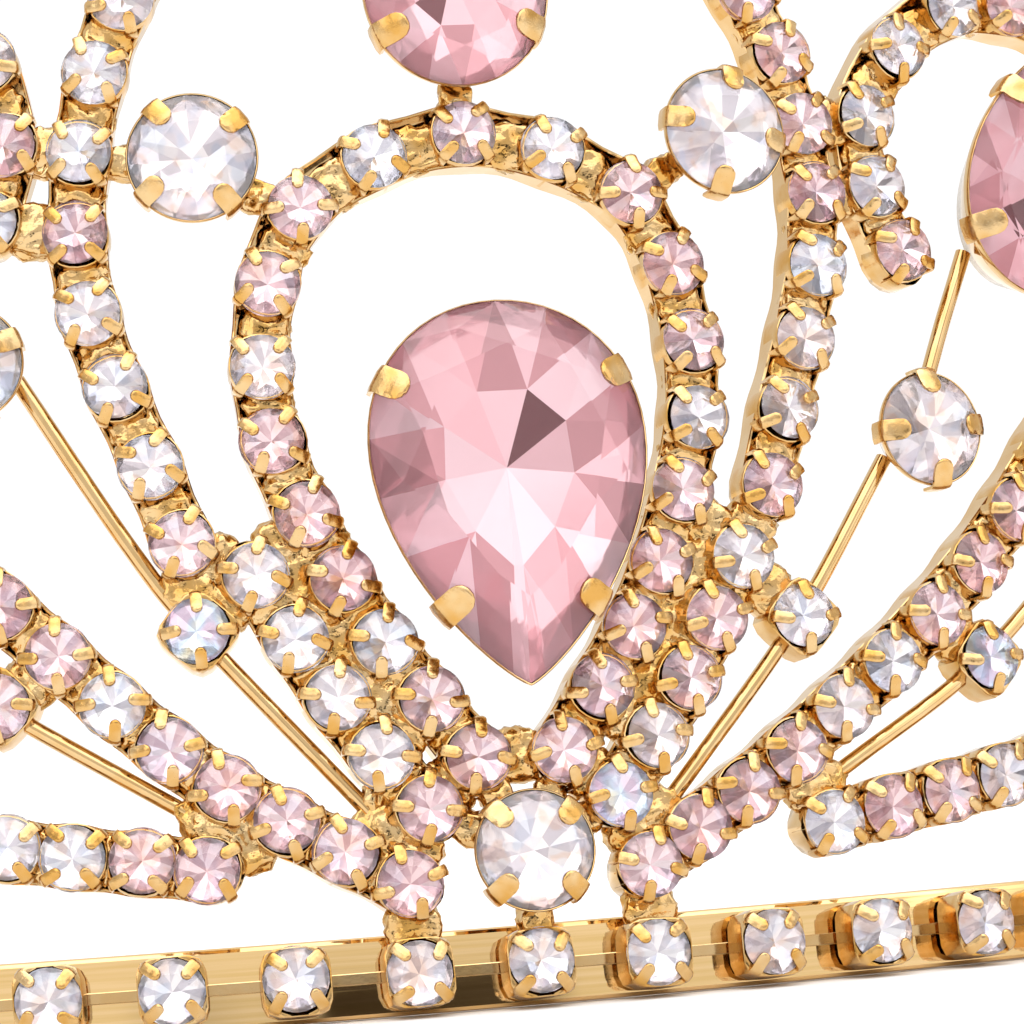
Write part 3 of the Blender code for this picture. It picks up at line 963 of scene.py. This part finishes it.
def colour_ramp(tree, value, stops):
    """Colours at positions along a value."""
    ramp = add_node(tree, "ShaderNodeValToRGB", {"Fac": value})
    elements = ramp.color_ramp.elements
    for element, (position, colour) in zip(elements, (stops[0], stops[-1])):
        element.position = position
        element.color = (*colour, 1.0)
    for position, colour in stops[1:-1]:
        elements.new(position).color = (*colour, 1.0)
    return ramp.outputs["Color"]


def colour_mix(tree, share, one, two, blend):
    """Mixes two colours, each a socket or a value."""
    mix = add_node(tree, "ShaderNodeMix", data_type="RGBA", blend_type=blend)
    places = {socket.name: place for place, socket in enumerate(mix.inputs) if socket.enabled}
    fill(tree, mix, {places["Factor"]: share, places["A"]: one, places["B"]: two})
    return enabled(mix.outputs)[0]


def metal(name, pale, deep, roughness, grain, bump, stretch=(1, 1, 1)):
    """Gold: two tones in soft patches, and fine grain or rolled marks."""
    material, tree, shader = new_material(name)
    patches = noise(tree, 700.0, stretch=stretch)
    fine = noise(tree, grain, 3.0, stretch)
    relief = add_node(tree, "ShaderNodeBump", {
        "Height": fine, "Strength": 1.0, "Distance": bump})
    fill(tree, shader, {
        "Base Color": colour_ramp(tree, patches, ((0.35, deep), (0.65, pale))),
        "Metallic": 1.0,
        "Roughness": spread(tree, fine, 0.3, 0.7, roughness * 0.7, roughness * 1.4),
        "Normal": relief.outputs["Normal"],
    })
    return material


def tone_mix(tree, one, two):
    """A colour between two by the stone's own tone."""
    tone = add_node(tree, "ShaderNodeAttribute", attribute_name="tone")
    return colour_ramp(tree, tone.outputs["Fac"], ((0.0, one), (1.0, two)))


def glass(name, one, two):
    """Clear cut glass."""
    material, tree, shader = new_material(name)
    fill(tree, shader, {
        "Base Color": tone_mix(tree, one, two),
        "Transmission Weight": 1.0,
        "Roughness": 0.0,
        "IOR": 1.47,
    })
    return material


def foil(name, mirror, painted_shades, one, two, film_and_painted_fire=None):
    """The mirror behind a stone, with painted reflections: painted shade darkens it behind some of
    the facets and painted light leaves it white behind others, in place of the dark and bright
    facets of a cut stone. It has the grain of its lacquer. The painted shades are those of the
    levels 0 and 0.5."""
    material, tree, shader = new_material(name)
    facet = add_node(tree, "ShaderNodeAttribute", attribute_name="facet")
    # Painted shade: dark, middle or white by the facet's level
    shade = colour_ramp(tree, facet.outputs["Fac"], (
        (0.0, painted_shades[0]), (0.5, painted_shades[1]), (1.0, (1.0, 1.0, 1.0))))
    base = colour_mix(tree, 1.0, tone_mix(tree, one, two), shade, "MULTIPLY")
    # Patches of colour on the foil: for the iridescent stones the film of their coating, for the
    # others painted fire, flashes of dispersed light painted in peach and blue
    if film_and_painted_fire:
        film = colour_ramp(tree, noise(tree, 900.0, 1.0), film_and_painted_fire)
        base = colour_mix(tree, 1.0, base, film, "MULTIPLY")
    fill(tree, shader, {
        "Base Color": base,
        "Metallic": mirror,
        "Roughness": spread(tree, noise(tree, 9000.0), 0.0, 1.0, 0.03, 0.12),
    })
    return material


def material_set(colours):
    """All the finishes: tones of gold, with lighter copies of it painted for the band, then glass
    and foil for each stone, the foil with painted light and shade behind its facets.
    """
    pale, deep = tuple(colours.gold_pale), tuple(colours.gold_deep)
    rolled = tuple((2 * p + d) / 3 for p, d in zip(pale, deep))
    # The band's gold: lighter copies of the pale gold, painted light that makes the band brighter
    # than the other gold parts
    lit_band_gold = tuple(1.38 * c for c in pale)
    lit_warm_band_gold = tuple(c * w for c, w in zip(pale, (1.24, 1.2, 1.0)))
    pink, clear = tuple(colours.pink), tuple(colours.clear)
    lighter = tuple(0.45 + 0.55 * c for c in pink)
    film = ((0.3, (1.0, 0.96, 0.72)), (0.45, (0.76, 0.9, 1.0)), (0.6, (1.0, 0.8, 0.9)))
    warm = tuple(c * w for c, w in zip(clear, (1.0, 0.93, 0.89)))
    # Painted fire: flashes of peach and blue light painted in patches on the foil
    painted_fire = ((0.36, (1.0, 0.86, 0.76)), (0.44, (1.0, 1.0, 1.0)),
            (0.57, (1.0, 1.0, 1.0)), (0.66, (0.84, 0.92, 1.0)))
    # Painted shade of each foil: the colours of its darkest and middle facets, in place of the dark
    # reflections in a cut stone
    pink_painted_shades = ((0.5, 0.38, 0.41), (0.85, 0.77, 0.79))
    pear_painted_shades = ((0.17, 0.065, 0.07), (0.95, 0.59, 0.6))
    clear_painted_shades = ((0.54, 0.53, 0.58), (0.87, 0.85, 0.89))
    petal = (0.86, 0.76, 0.81)
    return {
        "polished": metal("polished_gold", pale, rolled, 0.1, 2500.0, 0.002 * MM),
        "band": metal("rolled_gold", lit_band_gold, lit_warm_band_gold, 0.05, 500.0, 0.004 * MM, (0.12, 0.12, 6.0)),
        "cup": metal("cup_gold", pale, deep, 0.16, 5000.0, 0.008 * MM),
        "prong": metal("prong_gold", pale, deep, 0.2, 7000.0, 0.01 * MM),
        "solder": metal("solder_gold", pale, deep, 0.11, 2200.0, 0.05 * MM),
        "pink_glass": glass("pink_glass", lighter, (1.0, 0.93, 0.95)),
        "pink_foil": foil("pink_foil", 0.64, pink_painted_shades, pink, lighter, painted_fire),
        "deep_glass": glass("pear_glass", (1.0, 0.89, 0.9), (1.0, 0.89, 0.9)),
        "deep_foil": foil("pear_foil", 0.38, pear_painted_shades, petal, petal),
        "clear_glass": glass("clear_glass", (1, 1, 1), (1.0, 0.98, 0.98)),
        "clear_foil": foil("clear_foil", 0.6, clear_painted_shades, clear, warm, painted_fire),
        "iridescent_glass": glass("iridescent_glass", (1, 1, 1), (1, 1, 1)),
        "iridescent_foil": foil("iridescent_foil", 0.6, clear_painted_shades, clear, clear, film),
    }


def finish(name):
    if not FINISHES:
        FINISHES.update(material_set(bpy.context.scene.tiara_colours))
    return FINISHES[name]


# What a user would change

def size_property(name, description, millimetres):
    return bpy.props.FloatProperty(name=name, description=description,
                                   default=millimetres * MM, unit="LENGTH")


def colour_property(name, description, *colour):
    return bpy.props.FloatVectorProperty(name=name, description=description,
                                         default=colour, subtype="COLOR", min=0, max=1)


class TiaraSizes(bpy.types.PropertyGroup):
    """Sizes of the stones' setting."""
    stone_width: size_property("Small stone", "Width of a small stone", 3.14)
    cup_wall: size_property("Cup wall", "Wall of a small cup at its thinnest", 0.07)
    prong_width: size_property("Small prong", "Width of a small cup's prong", 0.56)
    prong_reach: size_property("Small prong reach", "How far a prong reaches over its stone", 0.74)
    wrinkle: size_property("Solder wrinkles", "Depth of the wrinkles in the solder", 0.34)
    seed: bpy.props.IntProperty(
        name="Seed", description="Fixes the small turns of cups and stones", default=7)


class TiaraColours(bpy.types.PropertyGroup):
    """Colours of the gold and of the stones."""
    gold_pale: colour_property("Pale gold", "The gold's lighter tone", 0.63, 0.435, 0.215)
    gold_deep: colour_property("Deep gold", "The gold's darker tone", 0.56, 0.305, 0.077)
    pink: colour_property("Pink", "Foil of the pink stones", 0.90, 0.73, 0.74)
    clear: colour_property("Clear", "Foil of the clear stones", 0.93, 0.92, 0.95)


# Operators

class TIARA_OT_small_stones(bpy.types.Operator):
    """Sets each row of small stones: strip, cups, prongs, solder, stones"""
    bl_idname = "tiara.small_stones"
    bl_label = "Rows of small stones"

    def execute(self, context):
        sizes = context.scene.tiara_sizes
        width = sizes.stone_width
        slope = SMALL_CUT.crown * 2 / (1 - SMALL_CUT.table)
        row_cup = make_cup("row_cup", width, sizes.cup_wall * ROW_WALL_SHARE,
                           ROW_CUP_SQUARENESS, ROW_CUP_FOOT)
        lone_cup = make_cup("lone_cup", width, sizes.cup_wall, LONE_CUP_SQUARENESS,
                            LONE_CUP_FOOT)
        thick = SMALL_CLAW_THICK
        path = prong_path(STONE_GIRDLE, slope, sizes.cup_wall + thick * 0.6,
                          sizes.prong_reach, thick, SMALL_CLAW_DROP)
        prong = make_prong("prong", sizes.prong_width, thick, path)
        lump = make_lump("lump")
        solder = junctions()
        stone = cut_stone("stone", width, width, SMALL_CUT, SMALL_PAINTED_FACET_LIGHT, STONE_GIRDLE)
        for number, row in enumerate(ROWS):
            alone = row.name in BARE_ROWS or len(row.colours) == 1
            cup = lone_cup if alone else row_cup
            self.make_row(row, sizes, sizes.seed + number, cup, prong, lump, stone,
                          solder[row.name])
        discard(row_cup, lone_cup, prong, lump, stone)
        return {"FINISHED"}

    def make_row(self, row, sizes, seed, cup, prong, lump, stone, webs):
        """One row: its metal as one piece, and its stones a piece a colour."""
        centres = small_stones(row)
        angles = row_angles(centres)
        spots = [Spot(c.x, c.y, 0.0, a) for c, a in zip(centres, angles)]
        claws = []
        for centre, angle in zip(centres, angles):
            for corner in range(4):
                turn = angle + pi / 4 + corner * pi / 2
                edge = centre + direction(turn) * sizes.stone_width / 2
                claws.append(Spot(edge.x, edge.y, 0.0, turn))
        parts = [
            place_copies("metal", row.name, spots, {
                "Copy": cup, "Turn spread": radians(2), "Seed": seed,
                "Finish": finish("cup")}),
            place_copies("metal", row.name + "_prongs", claws, {
                "Copy": prong, "Turn spread": radians(16), "Tilt spread": radians(1.5),
                "Seed": seed + 50, "Finish": finish("prong")}),
        ]
        if len(centres) > 1 and row.name not in BARE_ROWS:
            parts.append(make_channel(row.name + "_strip", centres, finish("polished")))
            for one, two in zip(centres, centres[1:]):
                webs.append(web_of_pair(one, two, WEB_WIDTH))
        if row.name in BARE_ROWS:
            parts.append(make_strip(row.name + "_strip", centres, finish("polished")))
        if webs:
            parts.append(place_copies("solder", row.name + "_solder", webs, {
                "Copy": lump, "Seed": seed + 90, "Finish": finish("solder"),
                "Wrinkle size": WRINKLE_SIZE, "Wrinkle depth": sizes.wrinkle}))
        wires = [wire for wire in WIRES if wire.name == row.name]
        parts += [make_wire(wire) for wire in wires]
        metal_piece = join_objects(row.name, parts)
        finish_piece(metal_piece, "stone_rows" if not wires else "gold", row.name)
        for letter in sorted(set(row.colours)):
            label = ROW_FINISHES[letter]
            chosen = [s for s, colour in zip(spots, row.colours) if colour == letter]
            item = place_copies("stones", f"{row.name}_{label}_stones", chosen, {
                "Copy": stone, "Turn spread": pi, "Tilt spread": radians(4),
                "Seed": seed + 130, "Finish": finish(label + "_glass"),
                "Foil": finish(label + "_foil")})
            finish_piece(item, "pink_stone" if letter == "P" else "clear_stone")


def make_wire(wire):
    """A polished wire, behind the cup that it carries."""
    mesh = bpy.data.meshes.new(wire.name + "_wire")
    points = [on_crest(spot.x, spot.y, WIRE_DEPTH) for spot in wire_path(wire)]
    mesh.from_pydata(points, [(index, index + 1) for index in range(len(points) - 1)], [])
    return run_tree("wire", wire.name + "_wire", mesh, {
        "Radius": WIRE_RADIUS, "Sides": WIRE_SIDES, "Finish": finish("polished")})


class TIARA_OT_link(bpy.types.Operator):
    """Makes the bare wire above the right stem's round stone"""
    bl_idname = "tiara.link"
    bl_label = "Stem link"

    def execute(self, context):
        wire = next(wire for wire in WIRES if wire.name == "stem_link_right")
        item = make_wire(wire)
        item.name = wire.name
        finish_piece(item, "gold", wire.name)
        return {"FINISHED"}


class TIARA_OT_main_stones(bpy.types.Operator):
    """Cuts the pear and round stones, and makes their settings"""
    bl_idname = "tiara.main_stones"
    bl_label = "Main stones"

    def execute(self, context):
        seed = context.scene.tiara_sizes.seed
        for number, gem in enumerate(GEMS):
            kind = PEAR if gem.length > gem.width else ROUND
            width, length = gem.width * MM, gem.length * MM
            girdle = width * kind.seat + SETTING_FLOOR + 2 * SEAT_GAP
            stone = cut_stone("cut", width, length, kind.cut, kind.tones, girdle)
            spot = Spot(gem.u * MM, gem.v * MM, 0.0, radians(gem.turn))
            item = place_copies("stones", gem.name, [spot], {
                "Copy": stone, "Seed": seed + number,
                "Finish": finish(kind.finish + "_glass"),
                "Foil": finish(kind.finish + "_foil")})
            finish_piece(item, kind.slot, gem.name)
            discard(stone)
            self.make_setting(gem, kind, spot, girdle, seed + number)
        return {"FINISHED"}

    def make_setting(self, gem, kind, spot, girdle, seed):
        """A shell round the stone, and its claws."""
        width, length, cut = gem.width * MM, gem.length * MM, kind.cut
        shell = self.make_shell(width, length, cut, girdle)
        slope = cut.crown / (1 - cut.table) * 2
        path = prong_path(girdle, slope, CLAW_STAND + kind.thick * 0.55, kind.reach,
                          kind.thick, CLAW_DROP)
        claw_width = (kind.claw_width + kind.claw_growth * gem.width) * MM
        claw = make_prong("prong", claw_width, kind.thick, path)
        claws = []
        turn = radians(gem.turn)
        for degrees in gem.prongs:
            t = radians(degrees)
            point = outline_point(width, length, t)
            side = outline_side(width, length, t)
            out = atan2(-side.x, side.y)
            out = out + pi if direction(out).dot(point.xy) < 0 else out
            u = spot.u + point.x * cos(turn) - point.y * sin(turn)
            v = spot.v + point.x * sin(turn) + point.y * cos(turn)
            claws.append(Spot(u, v, 0.0, out + turn))
        parts = [
            place_copies("metal", gem.name + "_shell", [spot], {
                "Copy": shell, "Seed": seed, "Finish": finish("polished")}),
            place_copies("metal", gem.name + "_prongs", claws, {
                "Copy": claw, "Turn spread": radians(5), "Seed": seed + 30,
                "Finish": finish("prong")}),
        ]
        discard(shell, claw)
        setting = join_objects(gem.name + "_setting", parts)
        finish_piece(setting, "gold", gem.name + "_setting")

    def make_shell(self, width, length, cut, girdle):
        """A setting's wall, rim and seat: shares of the stone's outline, with
        a margin and a depth."""
        culet = girdle - cut.pavilion * width - SEAT_GAP
        foot = -SETTING_BACK * girdle
        profile = (
            (1.0, foot - 0.2 * MM, 0.0), (1.0, foot, 0.15 * MM),
            (1.0, 0.02 * MM, girdle - 0.5 * MM), (1.0, 0.1 * MM, girdle - 0.3 * MM),
            (1.0, 0.12 * MM, girdle - 0.06 * MM), (1.0, 0.08 * MM, girdle),
            (1.0, 0.04 * MM, girdle - 0.02 * MM),
            (1.0, 0.04 * MM, girdle - cut.girdle - 0.15 * MM),
            (0.12, 0.06 * MM, culet),
        )
        rings = [[outline_point(width, length, t, margin) * share + Vector((0, 0, depth))
                  for t in turns(SETTING_SIDES)] for share, margin, depth in profile]
        return lofted("shell", rings, smooth_angle=40)


class TIARA_OT_headband(bpy.types.Operator):
    """Makes the polished band with its curled ends"""
    bl_idname = "tiara.headband"
    bl_label = "Headband"

    def execute(self, context):
        edge, height, back = BAND_EDGE, BAND_HEIGHT, -BAND_THICKNESS
        profile = (
            (-edge, 0.0), (-edge * 0.3, edge * 0.3), (0.0, edge),
            (BAND_CROWN, height * 0.48), (BAND_CROWN, height * 0.52),
            (0.0, height - edge), (-edge * 0.3, height - edge * 0.3),
            (-edge, height), (back + edge, height), (back + edge * 0.3, height - edge * 0.3),
            (back, height - edge), (back, edge), (back + edge * 0.3, edge * 0.3),
            (back + edge, 0.0),
        )
        right = band_stations()
        left = [(Vector((-spot.x, spot.y)), Vector((-out.x, out.y))) for spot, out in right]
        rings = []
        for spot, out in left[:0:-1] + right:
            ring = []
            for depth, level in profile:
                flat = spot + out * (depth + level * tan(LEAN))
                ring.append(Vector((flat.x, flat.y, level)))
            rings.append(ring)
        item = lofted("headband", rings, finish("band"), smooth_angle=12)
        finish_piece(item, "gold", "headband")
        return {"FINISHED"}


def band_stations():
    """Places and outward directions along the headband's front face."""
    heading = 0.0
    spot = Vector((0.0, AXIS_Y - BAND_BENDS[0].radius))
    stations = [(spot, Vector((0.0, -1.0)))]
    for bend in BAND_BENDS:
        out = Vector((sin(heading), -cos(heading)))
        centre = spot - out * bend.radius
        for step in range(1, bend.steps + 1):
            angle = heading + bend.angle * step / bend.steps
            out = Vector((sin(angle), -cos(angle)))
            stations.append((centre + out * bend.radius, out))
        spot = stations[-1][0]
        heading += bend.angle
    return stations


class TIARA_OT_stage(bpy.types.Operator):
    """Makes the floor, the light and the camera"""
    bl_idname = "tiara.stage"
    bl_label = "Studio"

    def execute(self, context):
        self.make_camera(context)
        self.make_floor()
        self.make_world(context)
        self.make_lights()
        context.scene.view_settings.view_transform = "Standard"
        return {"FINISHED"}

    def make_camera(self, context):
        azimuth, elevation = CAMERA_AZIMUTH, CAMERA_ELEVATION
        back = Vector((sin(azimuth) * cos(elevation), -cos(azimuth) * cos(elevation),
                       sin(elevation)))
        level = Vector((cos(azimuth), sin(azimuth), 0.0))
        up = back.cross(level)
        right = level * cos(CAMERA_ROLL) + up * sin(CAMERA_ROLL)
        top = up * cos(CAMERA_ROLL) - level * sin(CAMERA_ROLL)
        camera = bpy.data.cameras.new("camera")
        camera.lens = CAMERA_LENS
        camera.clip_start = 0.01
        item = new_object("camera", camera)
        turn = Matrix((right, top, back)).transposed().to_4x4()
        place = CAMERA_AIM + back * CAMERA_DISTANCE
        item.matrix_world = Matrix.Translation(place) @ turn
        context.scene.camera = item

    def make_floor(self):
        bm = bmesh.new()
        bmesh.ops.create_circle(bm, cap_ends=True, radius=FLOOR_RADIUS, segments=64)
        for vert in bm.verts:
            vert.co.z = -FLOOR_DROP
        material, nodes, shader = new_material("white_floor")
        mottle = colour_ramp(nodes, noise(nodes, 3.0), ((0.4, (0.86,) * 3), (0.6, (0.88,) * 3)))
        fill(nodes, shader, {"Base Color": mottle, "Roughness": 0.6})
        object_from("floor", bm, material)

    def make_world(self, context):
        """A white studio, with the dark shapes behind the camera that the
        polished gold mirrors."""
        world = bpy.data.worlds.new("studio")
        context.scene.world = world
        world.use_nodes = True
        nodes = world.node_tree
        nodes.nodes.clear()
        white = (1.0, 1.0, 1.0)
        coordinates = add_node(nodes, "ShaderNodeTexCoord")
        way = coordinates.outputs["Generated"]
        split = add_node(nodes, "ShaderNodeSeparateXYZ", {"Vector": way})
        sideways, backwards, height = split.outputs
        columns = colour_ramp(nodes, spread(nodes, sideways, -1.0, 1.0), (
            (0.0, white), (0.36, (0.95,) * 3), (0.4, (0.6,) * 3),
            (0.44, (0.8,) * 3), (0.47, (0.7,) * 3), (0.485, (0.05, 0.04, 0.03)),
            (0.61, (0.08, 0.07, 0.06)), (0.64, (0.9,) * 3), (1.0, white)))
        above = colour_ramp(nodes, height, (
            (0.0, (0.0,) * 3), (0.13, (0.0,) * 3), (0.18, (0.8,) * 3), (0.29, white)))
        columns = colour_mix(nodes, above, columns, (*white, 1.0), "MIX")
        clouds = add_node(nodes, "ShaderNodeTexNoise", {
            "Vector": way, "Scale": 4.2, "Detail": 0.0})
        shade = colour_ramp(nodes, clouds.outputs["Fac"], (
            (0.36, (0.5, 0.48, 0.48)), (0.41, white)))
        front = colour_mix(nodes, spread(nodes, backwards, -0.86, -0.74), columns, shade, "MIX")
        behind = spread(nodes, backwards, -0.35, 0.25)
        walls = colour_mix(nodes, behind, front, (*white, 1.0), "MIX")
        glow = add_node(nodes, "ShaderNodeBackground", {"Color": walls, "Strength": 1.05})
        add_node(nodes, "ShaderNodeOutputWorld", {"Surface": glow.outputs[0]})

    def make_lights(self):
        for lamp in LAMPS:
            light = bpy.data.lights.new(lamp.name, "AREA")
            light.shape = "DISK"
            light.size = lamp.size
            light.energy = lamp.power
            item = new_object(lamp.name, light)
            item.location = lamp.place
            aim = LIGHT_AIM - Vector(lamp.place)
            item.rotation_euler = aim.to_track_quat("-Z", "Y").to_euler()
        sun = bpy.data.lights.new("soft_sky", "SUN")
        sun.energy = 2.0
        sun.angle = radians(80)
        item = new_object("soft_sky", sun)
        item.rotation_euler = (radians(20), 0, 0)


class TIARA_PT_pieces(bpy.types.Panel):
    """Lists the pieces, the sizes and the colours"""
    bl_idname = "TIARA_PT_pieces"
    bl_label = "Tiara"
    bl_space_type = "VIEW_3D"
    bl_region_type = "UI"
    bl_category = "Tiara"

    def draw(self, context):
        for group in (context.scene.tiara_sizes, context.scene.tiara_colours):
            for key in group.__annotations__:
                self.layout.prop(group, key)
        for maker in OPERATORS:
            self.layout.operator(maker.bl_idname)


OPERATORS = (TIARA_OT_stage, TIARA_OT_headband, TIARA_OT_small_stones, TIARA_OT_link,
             TIARA_OT_main_stones)
CLASSES = (TiaraSizes, TiaraColours, *OPERATORS, TIARA_PT_pieces)


def register():
    for entry in CLASSES:
        bpy.utils.register_class(entry)
    bpy.types.Scene.tiara_sizes = bpy.props.PointerProperty(type=TiaraSizes)
    bpy.types.Scene.tiara_colours = bpy.props.PointerProperty(type=TiaraColours)


def unregister():
    del bpy.types.Scene.tiara_colours
    del bpy.types.Scene.tiara_sizes
    for entry in reversed(CLASSES):
        bpy.utils.unregister_class(entry)


def main():
    register()
    bpy.ops.tiara.stage()
    bpy.ops.tiara.headband()
    bpy.ops.tiara.small_stones()
    bpy.ops.tiara.link()
    bpy.ops.tiara.main_stones()


if __name__ == "__main__":
    main()
